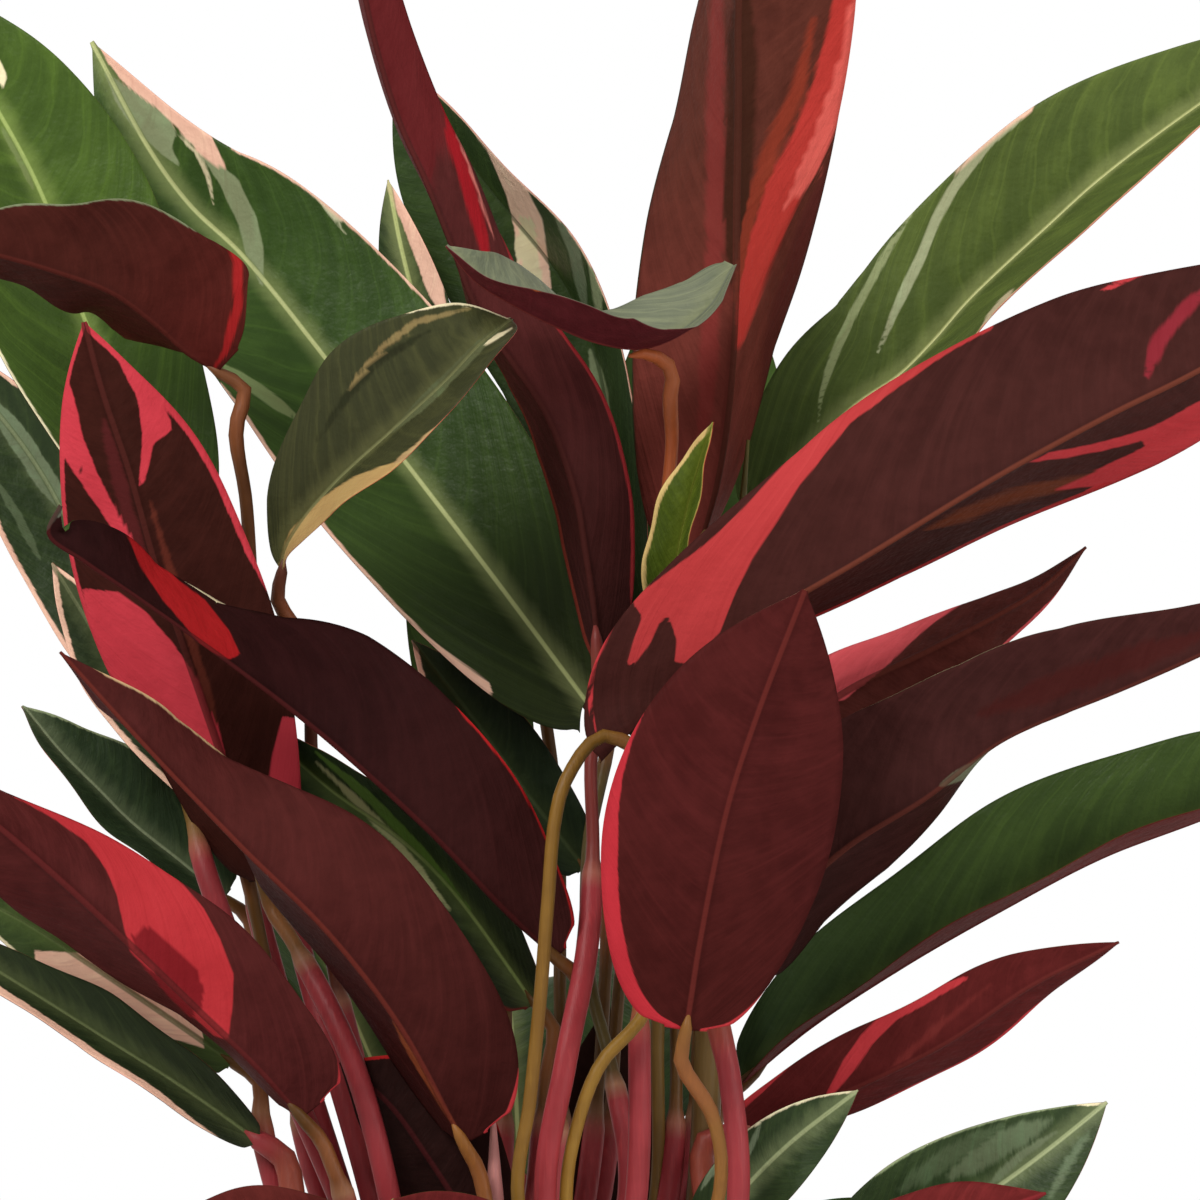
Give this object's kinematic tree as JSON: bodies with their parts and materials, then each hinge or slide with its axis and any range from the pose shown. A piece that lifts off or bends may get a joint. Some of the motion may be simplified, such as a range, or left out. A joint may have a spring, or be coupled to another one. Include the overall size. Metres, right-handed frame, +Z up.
{
  "type": "potted prayer plant",
  "caption": "Potted prayer plant: a clump of long leaves on upright stalks, variegated green above and burgundy below, in a round nursery pot",
  "frame": {"origin": "centre of the flat face under the pot, on the surface that the pot stands on", "axes": "+Z up along the pot, -Y towards the front of the plant, +X to the right seen from the front"},
  "size_m": [0.4869, 0.3224, 0.7382],
  "materials": {
    "pot": "matte",
    "soil": "loose peat",
    "stalk": "satin",
    "blade_top": "satin",
    "blade_under": "satin"
  },
  "bodies": {
    "root": {"pot": "pot", "soil": "soil", "leaf_a1": "blade_under", "leaf_a2": "blade_top", "leaf_a3": "blade_top", "leaf_a5": "blade_under", "leaf_a6": "blade_top", "leaf_b1": "blade_top", "leaf_b2": "blade_top", "leaf_b3": "blade_under", "leaf_b4": "blade_under", "leaf_b5": "blade_top", "leaf_b6": "blade_top", "leaf_b7": "blade_top", "leaf_c1": "blade_under", "leaf_c2": "blade_under", "leaf_c3": "blade_top", "leaf_c4": "blade_under", "leaf_c5": "blade_under", "leaf_d1": "blade_top", "leaf_d3": "blade_top", "leaf_d4": "blade_top", "leaf_d5": "blade_top", "leaf_e1": "blade_under", "leaf_e3": "blade_top", "leaf_e4": "blade_under", "leaf_f1": "blade_under", "leaf_f2": "blade_under", "leaf_f3": "blade_under", "leaf_f4": "blade_under", "leaf_f5": "blade_under", "leaf_g3": "blade_top", "leaf_g4": "blade_top", "leaf_g5": "blade_top", "leaf_h1": "blade_under", "leaf_h2": "blade_top", "leaf_h3": "blade_top", "leaf_h4": "blade_under", "leaf_h5": "blade_under", "leaf_i1": "blade_top", "leaf_i2": "blade_top", "leaf_i3": "blade_top", "leaf_i4": "blade_top", "leaf_j1": "blade_top", "leaf_j2": "blade_top", "leaf_j3": "blade_top", "leaf_j4": "blade_top", "shoot_a": "stalk", "shoot_b": "stalk", "shoot_c": "stalk", "shoot_d": "stalk", "shoot_e": "stalk", "shoot_f": "stalk", "shoot_g": "stalk", "shoot_h": "stalk", "shoot_i": "stalk", "shoot_j": "stalk"}
  },
  "joints": []
}
